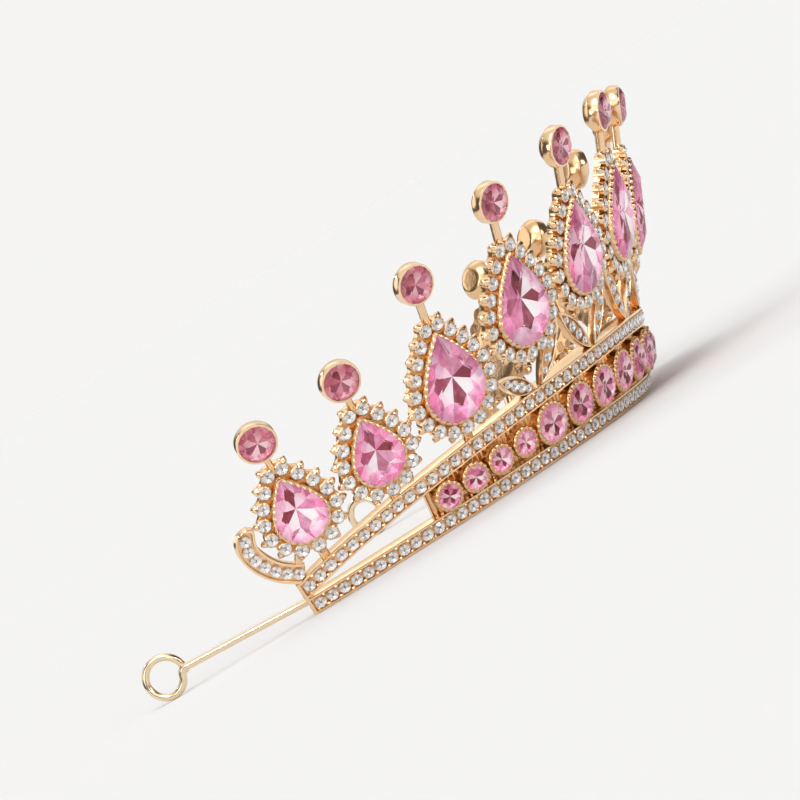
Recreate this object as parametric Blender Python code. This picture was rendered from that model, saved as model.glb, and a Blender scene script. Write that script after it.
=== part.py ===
"""Princess crown: an open tiara cast in gold-plated metal and set with pink stones, at its real size.

Metres, +Z up. The front is towards -Y, the two open ends point to +Y, and the wearer's right is -X.
The crown stands on its lower rail and on the rings of its two hairpin wires, with its base at z = 0.
The wall is a sheet that leans outwards from an elliptical plan. A place on it is given by three lengths:
arc, along the base from the front (positive on the wearer's right), rise, up the slope, and out, square to it.
The metal is one casting: its pieces are modelled one by one and then united into gold_frame.
"""
import math

import bmesh
import bpy
import numpy as np
from mathutils import Matrix, Vector

MM = 0.001

# Plan and wall
PLAN_HALF_WIDTH = 69 * MM
PLAN_HALF_DEPTH = 80 * MM
PLAN_CENTRE_Y = 48.7 * MM
HALF_ARC = 91 * MM
FLARE = math.radians(25)
FIT_GAP = 0.3 * MM

# Rails: two stone channels that part from the ends to the front
RAIL_TALL = 3.6 * MM
RAIL_BACK = -1.2 * MM
RAIL_FRONT = 1.3 * MM
RAIL_FLOOR = 0.5 * MM
RAIL_RIM = 0.5 * MM
RAIL_STEPS = 37
END_PLATE_LONG = 1.6 * MM
SPREAD_AT_END = 7.2 * MM
SPREAD_AT_FRONT = 16.7 * MM
SPREAD_CURVE = 2.6
BASE_LIFT = RAIL_FRONT * math.sin(FLARE)

# Gallery between the rails, with round cups
GALLERY_HALF_ARC = 62.5 * MM
GALLERY_BACK = -1.1 * MM
GALLERY_FRONT = -0.3 * MM
GALLERY_STEPS = 25
LARGE_BAND_STONE = 7.0 * MM
SMALL_BAND_STONE = 4.6 * MM
LARGE_BAND_PITCH = 8.3 * MM
SMALL_BAND_PITCH = 6.1 * MM
LARGE_PER_SIDE = 4
SMALL_PER_SIDE = 4
BAND_CUP_RIM = 1.9 * MM
CUP_WALL = 0.45 * MM
ROUND_SIDES = 10

# Motifs from the end to the front: arc, rise of the pear's middle, pear width and length
MOTIFS = [
    (83.5 * MM, 21.7 * MM, 10 * MM, 14 * MM),
    (67.4 * MM, 23.4 * MM, 10 * MM, 14 * MM),
    (50.4 * MM, 28.0 * MM, 13 * MM, 18 * MM),
    (33.2 * MM, 33.8 * MM, 13 * MM, 18 * MM),
    (16.2 * MM, 36.2 * MM, 13 * MM, 18 * MM),
    (0.0 * MM, 37.5 * MM, 13 * MM, 18 * MM),
]
LARGE_PEAR_WIDTH = 13 * MM
PEAR_SHOULDER = 1.6
PEAR_SIDES = 16
COLLET_WALL = 0.5 * MM
COLLET_FOOT = -0.2 * MM
COLLET_FLOOR = 0.45 * MM
COLLET_RIM = 2.2 * MM

# Halo of small stone cups round each pear, each with a pointed bead outside
HALO_OFFSET = 2.2 * MM
HALO_CUP = 1.65 * MM
HALO_SPIKE = 2.45 * MM
HALO_BACK = -0.8 * MM
HALO_FRONT = 0.4 * MM
HALO_CUPS_LARGE = 19
HALO_CUPS_SMALL = 15

# Stems and top cups
TOP_RISE_LARGE = 20.0 * MM
TOP_RISE_SMALL = 15.7 * MM
TOP_STONE = 7.0 * MM
TOP_CUP_RIM = 1.5 * MM
TOP_CUP_FLOOR = -0.3 * MM
TOP_CUP_BACK = -1.9 * MM
STEM_WIDE = 1.4 * MM
STEM_BACK = -0.7 * MM
STEM_FRONT = 0.7 * MM
FOOT_WIDE = 2.0 * MM

# Leaves under the five middle motifs
LEAF_WIDE = 4.0 * MM
LEAF_BACK = -0.7 * MM
LEAF_FRONT = 1.0 * MM
LEAF_FLOOR = 0.4 * MM
LEAF_RIM = 0.5 * MM

# End scrolls, round the bottom of the outermost motifs
SCROLL_RADIUS = 12.2 * MM
SCROLL_END_RADIUS = 10.5 * MM
SCROLL_START = math.radians(-66)
SCROLL_BEND = math.radians(-12)
SCROLL_END = math.radians(17)
SCROLL_WIDE = 4.2 * MM
SCROLL_BACK = -1.0 * MM
SCROLL_FLOOR = 0.3 * MM
SCROLL_FRONT = 1.0 * MM
SCROLL_STEPS = 11
SCROLL_TAB_ANGLE = math.radians(-60)

# Hairpin wires
WIRE_THICK = 1.5 * MM
WIRE_SIDES = 6
WIRE_REACH = 28 * MM
WIRE_TURN = math.radians(8)
WIRE_START_ARC = 85.5 * MM
WIRE_START_RISE = 2.0 * MM
RING_OUTER = 9.2 * MM
RING_STEPS = 12
RING_OVERLAP_STEPS = 1
RING_STEP_ASIDE = WIRE_THICK + FIT_GAP


def clear_scene():
    for thing in list(bpy.data.objects):
        bpy.data.objects.remove(thing)


def finish(name, colour, roughness, metallic, transmission=0.0):
    """One Principled material."""
    made = bpy.data.materials.new(name)
    made.use_nodes = True
    shader = made.node_tree.nodes["Principled BSDF"]
    shader.inputs["Base Color"].default_value = (*colour, 1.0)
    shader.inputs["Roughness"].default_value = roughness
    shader.inputs["Metallic"].default_value = metallic
    shader.inputs["Transmission Weight"].default_value = transmission
    return made


def plan_angles():
    """Ellipse angle as a function of the arc length from the front, as two arrays to read between."""
    angle = np.linspace(-math.pi / 2, math.pi / 2, 4001)
    speed = np.hypot(PLAN_HALF_WIDTH * np.cos(angle), PLAN_HALF_DEPTH * np.sin(angle))
    step = (speed[1:] + speed[:-1]) / 2 * np.diff(angle)
    arc = np.concatenate([[0.0], np.cumsum(step)])
    return arc - np.interp(0.0, angle, arc), angle


ARC_TABLE, ANGLE_TABLE = plan_angles()


def plan_frame(arc):
    """Point of the base line, outward direction and direction of growing arc, all level."""
    angle = float(np.interp(arc, ARC_TABLE, ANGLE_TABLE))
    s, c = math.sin(angle), math.cos(angle)
    point = Vector((-PLAN_HALF_WIDTH * s, PLAN_CENTRE_Y - PLAN_HALF_DEPTH * c, 0))
    outward = Vector((-PLAN_HALF_DEPTH * s, -PLAN_HALF_WIDTH * c, 0)).normalized()
    along = Vector((-PLAN_HALF_WIDTH * c, PLAN_HALF_DEPTH * s, 0)).normalized()
    return point, outward, along


def wall(arc, rise, out):
    """Point of the flared wall."""
    point, outward, _ = plan_frame(arc)
    reach = rise * math.sin(FLARE) + out * math.cos(FLARE)
    height = rise * math.cos(FLARE) - out * math.sin(FLARE) + BASE_LIFT
    return point + outward * reach + Vector((0, 0, height))


def wall_matrix(arc, rise):
    """Flat frame that touches the wall: X to the right seen from outside, Y up the slope, Z outwards."""
    _, outward, along = plan_frame(arc)
    up = outward * math.sin(FLARE) + Vector((0, 0, math.cos(FLARE)))
    out = outward * math.cos(FLARE) - Vector((0, 0, math.sin(FLARE)))
    turned = Matrix((-along, up, out)).transposed().to_4x4()
    return Matrix.Translation(wall(arc, rise, 0)) @ turned


def spread(arc):
    """Rise of the upper rail's top edge: least at the ends, levelling off towards the front."""
    inward = 1 - min(1.0, abs(arc) / HALF_ARC)
    share = (1 - math.exp(-SPREAD_CURVE * inward)) / (1 - math.exp(-SPREAD_CURVE))
    return SPREAD_AT_END + (SPREAD_AT_FRONT - SPREAD_AT_END) * share


def add_object(name, mesh_builder, material, matrix=None):
    """Object from a bmesh, with its faces turned outwards."""
    bmesh.ops.recalc_face_normals(mesh_builder, faces=mesh_builder.faces)
    mesh = bpy.data.meshes.new(name)
    mesh_builder.to_mesh(mesh)
    mesh_builder.free()
    mesh.materials.append(material)
    thing = bpy.data.objects.new(name, mesh)
    bpy.context.scene.collection.objects.link(thing)
    if matrix is not None:
        thing.matrix_world = matrix
    return thing


def loft(rings, closed_ends=True):
    """Closed skin through rings of as many points each: the first and last ring are filled."""
    made = bmesh.new()
    loops = [[made.verts.new(point) for point in ring] for ring in rings]
    for low, high in zip(loops, loops[1:]):
        for i in range(len(low)):
            j = (i + 1) % len(low)
            made.faces.new((low[i], low[j], high[j], high[i]))
    if closed_ends:
        made.faces.new(loops[0])
        made.faces.new(loops[-1])
    return made


def at_height(outline, out):
    return [(x, y, out) for x, y in outline]


def prism(outline, back, front):
    return loft([at_height(outline, back), at_height(outline, front)])


def bar(low_x, high_x, low_y, high_y, back, front):
    outline = [(low_x, low_y), (high_x, low_y), (high_x, high_y), (low_x, high_y)]
    return prism(outline, back, front)


def circle(radius, sides=ROUND_SIDES, centre=(0.0, 0.0)):
    turn = 2 * math.pi / sides
    return [
        (centre[0] + radius * math.cos(turn * (i + 0.5)), centre[1] + radius * math.sin(turn * (i + 0.5)))
        for i in range(sides)
    ]


def pear_curve(width, length, grow):
    """Dense pear outline from the bottom, anticlockwise, moved outwards by grow, with its outward directions.

    The bottom is half a circle, and each side is 1 - v to the power PEAR_SHOULDER up to the point at the top.
    """
    radius = width / 2
    level = radius - length / 2
    turn = np.linspace(-math.pi / 2, 0, 60)
    v = np.linspace(0, 1, 120)[1:]
    side_x = np.concatenate([radius * np.cos(turn), radius * (1 - v ** PEAR_SHOULDER)])
    side_y = np.concatenate([level + radius * np.sin(turn), level + v * (length / 2 - level)])
    step_x, step_y = np.gradient(side_x), np.gradient(side_y)
    size = np.hypot(step_x, step_y)
    normal_x, normal_y = step_y / size, -step_x / size
    tip_turn = np.linspace(math.atan2(normal_y[-1], normal_x[-1]), math.pi / 2, 12)[1:]
    side_x = np.concatenate([side_x, np.full(tip_turn.size, side_x[-1])])
    side_y = np.concatenate([side_y, np.full(tip_turn.size, side_y[-1])])
    normal_x = np.concatenate([normal_x, np.cos(tip_turn)])
    normal_y = np.concatenate([normal_y, np.sin(tip_turn)])
    right = np.stack([side_x + grow * normal_x, side_y + grow * normal_y, normal_x, normal_y], 1)
    left = right[-2::-1] * (-1, 1, -1, 1)
    return np.concatenate([right, left])


def pear_points(width, length, grow, count, shift=0.0):
    """Count evenly spaced places round the grown pear: x, y and the outward direction of each."""
    curve = pear_curve(width, length, grow)
    run = np.concatenate([[0.0], np.cumsum(np.hypot(*np.diff(curve[:, :2], axis=0).T))])
    wanted = (np.arange(count) + shift) % count / count * run[-1]
    return np.stack([np.interp(wanted, run, curve[:, k]) for k in range(4)], 1)


def pear_outline(width, length, grow):
    return [(x, y) for x, y, _, _ in pear_points(width, length, grow, PEAR_SIDES)]


def halo_count(width):
    return HALO_CUPS_LARGE if width >= LARGE_PEAR_WIDTH else HALO_CUPS_SMALL


def halo_outline(width, length):
    """Scalloped edge: for each cup a valley, two shoulders and between them the pointed bead."""
    cups = halo_count(width)
    rows = [(-0.5, 0.4), (-0.25, 0.9), (0.0, HALO_SPIKE / HALO_CUP), (0.25, 0.9)]
    sides = [pear_points(width, length, HALO_OFFSET, cups, shift) for shift, _ in rows]
    outline = []
    for i in range(cups):
        for (_, reach), places in zip(rows, sides):
            x, y, nx, ny = places[i]
            outline.append((x + nx * reach * HALO_CUP, y + ny * reach * HALO_CUP))
    return outline


def gem(outline, table_share, back, girdle_low, girdle_high, table):
    """Cut stone: pointed back, upright girdle, a ring of crown facets and a flat table."""
    made = loft(
        [
            at_height(outline, girdle_low),
            at_height(outline, girdle_high),
            at_height([(x * table_share, y * table_share) for x, y in outline], table),
        ],
        closed_ends=False,
    )
    count = len(outline)
    point = made.verts.new((0, 0, back))
    made.verts.ensure_lookup_table()
    for i in range(count):
        made.faces.new((made.verts[i], made.verts[(i + 1) % count], point))
    made.faces.new([made.verts[2 * count + i] for i in range(count)])
    return made


def cup(outer, inner, back, floor, rim, waist=None):
    """Round or pear cup with a pocket; a waist is a smaller outline for its back."""
    rings = [at_height(outer, back), at_height(outer, rim), at_height(inner, rim), at_height(inner, floor)]
    if waist is not None:
        rings[0:1] = [at_height(waist, back), at_height(outer, floor)]
    return loft(rings)


def channel_section(low, high, rim, back, floor, front):
    """Section of a stone channel as (rise, out) pairs: flat back, two rims and a sunk floor."""
    return [
        (low, back),
        (low, front),
        (low + rim, front),
        (low + rim, floor),
        (high - rim, floor),
        (high - rim, front),
        (high, front),
        (high, back),
    ]


def level_base(section):
    """The section with its two lowest corners moved along the slope to z = 0."""
    levelled = list(section)
    for i in (0, 1):
        out = section[i][1]
        levelled[i] = ((out - RAIL_FRONT) * math.tan(FLARE), out)
    return levelled


def lower_rail_section(arc):
    return level_base(channel_section(0, RAIL_TALL, RAIL_RIM, RAIL_BACK, RAIL_FLOOR, RAIL_FRONT))


def upper_rail_section(arc):
    top = spread(arc)
    return channel_section(top - RAIL_TALL, top, RAIL_RIM, RAIL_BACK, RAIL_FLOOR, RAIL_FRONT)


def gallery_section(arc):
    low, high = RAIL_TALL - RAIL_RIM, spread(arc) - RAIL_TALL + RAIL_RIM
    return [(low, GALLERY_BACK), (low, GALLERY_FRONT), (high, GALLERY_FRONT), (high, GALLERY_BACK)]


def end_plate_section(arc):
    top = SPREAD_AT_END + RAIL_RIM / 2
    corners = [(0, RAIL_BACK), (0, RAIL_FRONT), (top, RAIL_FRONT), (top, RAIL_BACK)]
    return level_base(corners)


def wall_strip(section_at, low_arc, high_arc, steps):
    """Strip that follows the wall, with its section worked out at each station."""
    arcs = [low_arc + (high_arc - low_arc) * i / steps for i in range(steps + 1)]
    return loft([[wall(arc, rise, out) for rise, out in section_at(arc)] for arc in arcs])


def make_rails(gold):
    inner_end = HALF_ARC - END_PLATE_LONG / 2
    made = [
        add_object("lower_rail", wall_strip(lower_rail_section, -inner_end, inner_end, RAIL_STEPS), gold),
        add_object("upper_rail", wall_strip(upper_rail_section, -inner_end, inner_end, RAIL_STEPS), gold),
        add_object(
            "gallery",
            wall_strip(gallery_section, -GALLERY_HALF_ARC, GALLERY_HALF_ARC, GALLERY_STEPS),
            gold,
        ),
    ]
    for side in (-1, 1):
        plate = wall_strip(end_plate_section, side * (HALF_ARC - END_PLATE_LONG), side * HALF_ARC, 1)
        made.append(add_object("end_plate", plate, gold))
    return made


def band_places():
    """Arc and stone width of each band stone, from one end to the other."""
    half = [(i * LARGE_BAND_PITCH, LARGE_BAND_STONE) for i in range(LARGE_PER_SIDE + 1)]
    first_small = LARGE_PER_SIDE * LARGE_BAND_PITCH + (LARGE_BAND_PITCH + SMALL_BAND_PITCH) / 2
    half += [(first_small + i * SMALL_BAND_PITCH, SMALL_BAND_STONE) for i in range(SMALL_PER_SIDE)]
    return [(-arc, size) for arc, size in reversed(half[1:])] + half


def make_band(gold, pink):
    made = []
    for number, (arc, size) in enumerate(band_places(), 1):
        matrix = wall_matrix(arc, spread(arc) / 2)
        inner = circle(size / 2 + FIT_GAP)
        outer = circle(size / 2 + FIT_GAP + CUP_WALL)
        pocket = cup(outer, inner, GALLERY_BACK + FIT_GAP, 0.0, BAND_CUP_RIM)
        made.append(add_object("band_cup", pocket, gold, matrix))
        stone = gem(
            circle(size / 2),
            0.55,
            FIT_GAP,
            BAND_CUP_RIM,
            BAND_CUP_RIM + 0.04 * size,
            BAND_CUP_RIM + 0.2 * size,
        )
        add_object(f"band_stone_{number:02d}", stone, pink, matrix)
    return made


def motif_places():
    """The row of motifs from one end to the other, as in MOTIFS but with both sides."""
    left = [(-arc, *rest) for arc, *rest in MOTIFS[:-1]]
    return left + MOTIFS[::-1]


def top_rise(width):
    return TOP_RISE_LARGE if width >= LARGE_PEAR_WIDTH else TOP_RISE_SMALL


def make_setting(arc, rise, width, length, gold):
    """Halo plate, collet, stem and top cup of one motif, in its own flat frame."""
    matrix = wall_matrix(arc, rise)
    top = top_rise(width)
    top_inner = TOP_STONE / 2 + FIT_GAP
    top_outer = top_inner + CUP_WALL
    collet = cup(
        pear_outline(width, length, FIT_GAP + COLLET_WALL),
        pear_outline(width, length, FIT_GAP),
        COLLET_FOOT,
        COLLET_FLOOR,
        COLLET_RIM,
    )
    top_cup = cup(
        circle(top_outer, centre=(0, top)),
        circle(top_inner, centre=(0, top)),
        TOP_CUP_BACK,
        TOP_CUP_FLOOR,
        TOP_CUP_RIM,
        waist=circle(top_outer * 0.6, centre=(0, top)),
    )
    stem = bar(
        -STEM_WIDE / 2,
        STEM_WIDE / 2,
        length / 2 + HALO_OFFSET / 2,
        top - top_outer + STEM_WIDE / 2,
        STEM_BACK,
        STEM_FRONT,
    )
    plate = prism(halo_outline(width, length), HALO_BACK, HALO_FRONT)
    return [
        add_object("halo", plate, gold, matrix),
        add_object("collet", collet, gold, matrix),
        add_object("stem", stem, gold, matrix),
        add_object("top_cup", top_cup, gold, matrix),
    ]


def make_foot(arc, rise, length, gold):
    """Short bar from the upper rail to the bottom of a halo."""
    low = spread(arc) - rise - RAIL_RIM
    high = -length / 2 - HALO_OFFSET
    foot = bar(-FOOT_WIDE / 2, FOOT_WIDE / 2, low, high, STEM_BACK, STEM_FRONT)
    return add_object("foot", foot, gold, wall_matrix(arc, rise))


def make_stones(number, arc, rise, width, length, pink, rose):
    matrix = wall_matrix(arc, rise)
    pear = gem(
        pear_outline(width, length, 0.0),
        0.5,
        COLLET_FLOOR + FIT_GAP,
        COLLET_RIM,
        COLLET_RIM + 0.03 * width,
        COLLET_RIM + 0.14 * width,
    )
    add_object(f"pear_stone_{number:02d}", pear, pink, matrix)
    top = gem(
        circle(TOP_STONE / 2),
        0.55,
        TOP_CUP_FLOOR + FIT_GAP,
        TOP_CUP_RIM,
        TOP_CUP_RIM + 0.04 * TOP_STONE,
        TOP_CUP_RIM + 0.2 * TOP_STONE,
    )
    place = matrix @ Matrix.Translation((0, top_rise(width), 0))
    add_object(f"top_stone_{number:02d}", top, rose, place)


def make_motifs(gold, pink, rose):
    made = []
    outer = [abs(row[0]) for row in MOTIFS[:3]]
    for number, (arc, rise, width, length) in enumerate(motif_places(), 1):
        made += make_setting(arc, rise, width, length, gold)
        make_stones(number, arc, rise, width, length, pink, rose)
        if abs(arc) in outer:
            made.append(make_foot(arc, rise, length, gold))
    return made


def leaf_outline(length, wide):
    """Navette from one point to the other: each edge is a parabola."""
    shares = (-0.62, 0.0, 0.62)
    upper = [(share * length / 2, wide / 2 * (1 - share * share)) for share in reversed(shares)]
    lower = [(x, -y) for x, y in reversed(upper)]
    return [(length / 2, 0), *upper, (-length / 2, 0), *lower]


def make_leaf(foot, tip, gold):
    """Rimmed leaf between two places of the wall, each given as (arc, rise)."""
    start, end = wall(*foot, 0), wall(*tip, 0)
    along = (end - start).normalized()
    out = wall_matrix((foot[0] + tip[0]) / 2, tip[1]).col[2].xyz
    out = (out - along * out.dot(along)).normalized()
    turned = Matrix((along, out.cross(along), out)).transposed().to_4x4()
    length = (end - start).length
    share = 1 - 2 * LEAF_RIM / LEAF_WIDE
    outline = leaf_outline(length, LEAF_WIDE)
    tray = cup(outline, [(x * share, y * share) for x, y in outline], LEAF_BACK, LEAF_FLOOR, LEAF_FRONT)
    return add_object("leaf", tray, gold, Matrix.Translation((start + end) / 2) @ turned)


def make_leaves(gold):
    """Two leaves under each of the five middle motifs, from the rail up to the gaps between the halos."""
    rows = motif_places()
    made = []
    for before, here, after in zip(rows[2:], rows[3:-3], rows[4:]):
        arc, rise, _, length = here
        foot_rise = spread(arc) - RAIL_RIM
        for near in (before, after):
            lower = min(rise, near[1])
            middle = (arc + near[0]) / 2
            tip = (arc + (middle - arc) * 0.97, lower - length / 2 + 1.6 * MM)
            made.append(make_leaf((arc + (middle - arc) * 0.06, foot_rise), tip, gold))
    return made


def scroll_radius(angle):
    """Constant at first, then drawing in to the halo after SCROLL_BEND."""
    share = max(0.0, (angle - SCROLL_BEND) / (SCROLL_END - SCROLL_BEND))
    return SCROLL_RADIUS + (SCROLL_END_RADIUS - SCROLL_RADIUS) * share * share


def make_scroll(side, gold):
    """Stone channel that curls round the bottom of an outermost motif, and the tab between them."""
    arc, rise, width, length = MOTIFS[0]
    centre = width / 2 - length / 2
    half = SCROLL_WIDE / 2
    section = channel_section(-half, half, RAIL_RIM, SCROLL_BACK, SCROLL_FLOOR, SCROLL_FRONT)
    rings = []
    for i in range(SCROLL_STEPS + 1):
        angle = SCROLL_START + (SCROLL_END - SCROLL_START) * i / SCROLL_STEPS
        across, up = -side * math.cos(angle), math.sin(angle)
        middle = scroll_radius(angle)
        rings.append([((middle + d) * across, centre + (middle + d) * up, out) for d, out in section])
    matrix = wall_matrix(side * arc, rise)
    across, up = -side * math.cos(SCROLL_TAB_ANGLE), math.sin(SCROLL_TAB_ANGLE)
    inner, outer = width / 2 + HALO_OFFSET, SCROLL_RADIUS - half + RAIL_RIM
    slide = STEM_WIDE / 2
    tab = [
        (inner * across - slide * up, centre + inner * up + slide * across),
        (inner * across + slide * up, centre + inner * up - slide * across),
        (outer * across + slide * up, centre + outer * up - slide * across),
        (outer * across - slide * up, centre + outer * up + slide * across),
    ]
    return [
        add_object("scroll", loft(rings), gold, matrix),
        add_object("scroll_tab", prism(tab, STEM_BACK, STEM_FRONT), gold, matrix),
    ]


def tube(path, radius, sides):
    """Tube through the points of a path; its rings stand square to the mean direction at each point."""
    made = []
    reference = Vector((1, 0, 0))
    for i, point in enumerate(path):
        ahead = (path[min(i + 1, len(path) - 1)] - point).normalized()
        behind = (point - path[max(i - 1, 0)]).normalized()
        direction = (ahead + behind).normalized()
        across = (reference - direction * reference.dot(direction)).normalized()
        third = direction.cross(across)
        reference = across
        bend = max(0.6, direction.dot(ahead if ahead.length else behind))
        ring = []
        for k in range(sides):
            angle = 2 * math.pi * (k + 0.5) / sides
            ring.append(point + across * radius * math.cos(angle) + third * radius * math.sin(angle) / bend)
        made.append(ring)
    return loft(made)


def make_wire(side, gold):
    """Hairpin wire: straight from behind the end plate, then a ring wound a little over one turn."""
    _, _, along = plan_frame(HALF_ARC)
    radius = WIRE_THICK / 2
    loop = RING_OUTER / 2 - radius
    start = wall(WIRE_START_ARC, WIRE_START_RISE, RAIL_BACK - radius * 0.4)
    leave = wall(HALF_ARC, WIRE_START_RISE, RAIL_BACK - radius * 0.4)
    level = Matrix.Rotation(-WIRE_TURN, 3, "Z") @ along
    centre = leave + level * (WIRE_REACH + loop)
    centre.z = RING_OUTER / 2
    heading = (centre - leave).normalized()
    entry = centre - heading * loop
    upward = Vector((1, 0, 0)).cross(heading).normalized()
    if upward.z < 0:
        upward = -upward
    path = [start, leave + (entry - leave) * 0.04, entry - heading * radius * 1.2]
    for i in range(1, RING_STEPS + RING_OVERLAP_STEPS + 1):
        turn = 2 * math.pi * (i - 0.5) / RING_STEPS
        aside = Vector((RING_STEP_ASIDE * (i - 0.5) / RING_STEPS, 0, 0))
        path.append(centre - heading * loop * math.cos(turn) - upward * loop * math.sin(turn) + aside)
    if side < 0:
        path = [Vector((-p.x, p.y, p.z)) for p in path]
    return add_object("hairpin", tube(path, radius, WIRE_SIDES), gold)


def unite(name, pieces, material):
    """One solid from the overlapping pieces of the casting; the pieces stay as hidden guides."""
    group = bpy.data.collections.new("casting_pieces")
    bpy.context.scene.collection.children.link(group)
    for piece in pieces[1:]:
        group.objects.link(piece)
    for piece in pieces:
        piece.hide_render = True
        piece.display_type = "WIRE"
    solid = bpy.data.objects.new(name, pieces[0].data.copy())
    solid.data.materials[0] = material
    bpy.context.scene.collection.objects.link(solid)
    union = solid.modifiers.new("casting", "BOOLEAN")
    union.operation = "UNION"
    union.solver = "EXACT"
    union.operand_type = "COLLECTION"
    union.collection = group
    return solid


def build():
    clear_scene()
    gold = finish("gold_plate", (0.83, 0.60, 0.33), 0.28, 1.0)
    pink = finish("pink_glass", (0.93, 0.36, 0.60), 0.05, 0.0, 0.4)
    rose = finish("rose_glass", (0.72, 0.28, 0.42), 0.06, 0.0, 0.4)
    pieces = make_rails(gold)
    pieces += make_band(gold, pink)
    pieces += make_motifs(gold, pink, rose)
    pieces += make_leaves(gold)
    for side in (-1, 1):
        pieces += make_scroll(side, gold)
        pieces.append(make_wire(side, gold))
    unite("gold_frame", pieces, gold)


build()
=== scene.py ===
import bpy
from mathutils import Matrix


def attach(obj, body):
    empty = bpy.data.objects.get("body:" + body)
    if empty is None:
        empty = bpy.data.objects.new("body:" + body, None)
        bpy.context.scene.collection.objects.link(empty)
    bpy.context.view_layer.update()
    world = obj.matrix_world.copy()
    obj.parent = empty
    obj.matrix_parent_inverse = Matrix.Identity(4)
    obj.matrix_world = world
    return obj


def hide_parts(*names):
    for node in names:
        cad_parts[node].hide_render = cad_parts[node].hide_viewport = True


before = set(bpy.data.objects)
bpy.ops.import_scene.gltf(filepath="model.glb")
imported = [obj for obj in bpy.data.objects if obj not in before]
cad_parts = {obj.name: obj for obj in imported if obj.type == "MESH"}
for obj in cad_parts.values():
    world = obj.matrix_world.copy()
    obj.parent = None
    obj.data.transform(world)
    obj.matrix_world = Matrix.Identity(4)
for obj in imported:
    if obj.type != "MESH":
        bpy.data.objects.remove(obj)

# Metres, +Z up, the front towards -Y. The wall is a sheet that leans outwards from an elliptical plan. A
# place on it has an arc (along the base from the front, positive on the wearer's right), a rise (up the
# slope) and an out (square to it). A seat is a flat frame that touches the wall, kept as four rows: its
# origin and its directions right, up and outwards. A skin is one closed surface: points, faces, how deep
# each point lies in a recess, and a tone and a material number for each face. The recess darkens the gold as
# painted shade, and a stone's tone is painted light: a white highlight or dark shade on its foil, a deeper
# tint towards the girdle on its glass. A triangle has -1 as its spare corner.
"""Princess crown: its gold, its stones, the light and the camera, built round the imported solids.

Metres, +Z up, the front towards -Y. The wall is a sheet that leans outwards from an elliptical plan. A place
on it has an arc (along the base from the front, positive on the wearer's right), a rise (up the slope) and
an out (square to it). A seat is a flat frame that touches the wall, kept as four rows: its origin and its
directions right, up and outwards. A skin is one closed surface: points, faces, how deep each point lies in
a recess, and a tone and a material number for each face. A triangle has -1 as its spare corner.
"""
import math
from collections import namedtuple

import bpy
import numpy as np
from mathutils import Matrix, Vector

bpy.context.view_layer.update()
MM = 0.001

# Plan and wall, as in the solids
PLAN_HALF_WIDTH = 69 * MM
PLAN_HALF_DEPTH = 80 * MM
PLAN_CENTRE_Y = 48.7 * MM
HALF_ARC = 91 * MM
PLAN_STEPS = 4001
WAVE_STEPS = 6
FLARE = math.radians(25)
FIT_GAP = 0.3 * MM
STONE_SNUG = 0.18 * MM

# Rails
RAIL_TALL = 3.6 * MM
RAIL_BACK = -1.2 * MM
RAIL_FRONT = 1.3 * MM
RAIL_FLOOR = 0.5 * MM
RAIL_RIM = 0.5 * MM
RAIL_STATIONS = 181
END_PLATE_LONG = 0.9 * MM
SPREAD_AT_END = 7.2 * MM
SPREAD_AT_FRONT = 16.7 * MM
SPREAD_CURVE = 2.6
BASE_LIFT = RAIL_FRONT * math.sin(FLARE)
RAIL_STONE = 2.3 * MM
RAIL_STONE_PITCH = 2.6 * MM
GRAIN = 0.72 * MM
GRAIN_IN_RIM = 0.25 * GRAIN
GRAIN_SUNK = 0.35 * GRAIN
CREST_STEPS = 5
INNER_LOW = slice(CREST_STEPS, CREST_STEPS + 3)
INNER_HIGH = slice(CREST_STEPS + 3, CREST_STEPS + 6)

# Gallery and the round cups on it
GALLERY_HALF_ARC = 62.5 * MM
GALLERY_BACK = -1.1 * MM
GALLERY_FRONT = -0.3 * MM
RIDGE_PITCH = 1.15 * MM
RIDGE_DEEP = 0.4 * MM
LARGE_BAND_STONE = 7.0 * MM
SMALL_BAND_STONE = 4.6 * MM
LARGE_BAND_PITCH = 8.3 * MM
SMALL_BAND_PITCH = 6.1 * MM
LARGE_PER_SIDE = 4
SMALL_PER_SIDE = 4
CUP_BEADS = {LARGE_BAND_STONE: 24, SMALL_BAND_STONE: 17}
BAND_CUP_RIM = 1.9 * MM
CUP_WALL = 0.45 * MM

# Motifs from the end to the front: arc, rise of the pear's middle, pear width and length. The outer ones
# stand on feet, and the others on leaves
SMALL_PEAR = (10 * MM, 14 * MM)
LARGE_PEAR = (13 * MM, 18 * MM)
MOTIFS = [
    (83.5 * MM, 21.7 * MM, *SMALL_PEAR),
    (67.4 * MM, 23.4 * MM, *SMALL_PEAR),
    (50.4 * MM, 28.0 * MM, *LARGE_PEAR),
    (33.2 * MM, 33.8 * MM, *LARGE_PEAR),
    (16.2 * MM, 36.2 * MM, *LARGE_PEAR),
    (0.0 * MM, 37.5 * MM, *LARGE_PEAR),
]
OUTER_MOTIFS = 3
PEAR_SHOULDER = 1.6
PEAR_TABLE = 0.60
PEAR_CULET = 0.4 * MM
ROUND_TABLE = 0.55
PEAR_GIRDLE_TALL = 0.03
PEAR_CROWN_TALL = 0.14
PEAR_BOTTOM_STEPS = 60
PEAR_SIDE_STEPS = 120
PEAR_TIP_STEPS = 12
COLLET_RIM = 2.2 * MM
CLAW_PITCH = 1.35 * MM

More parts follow.
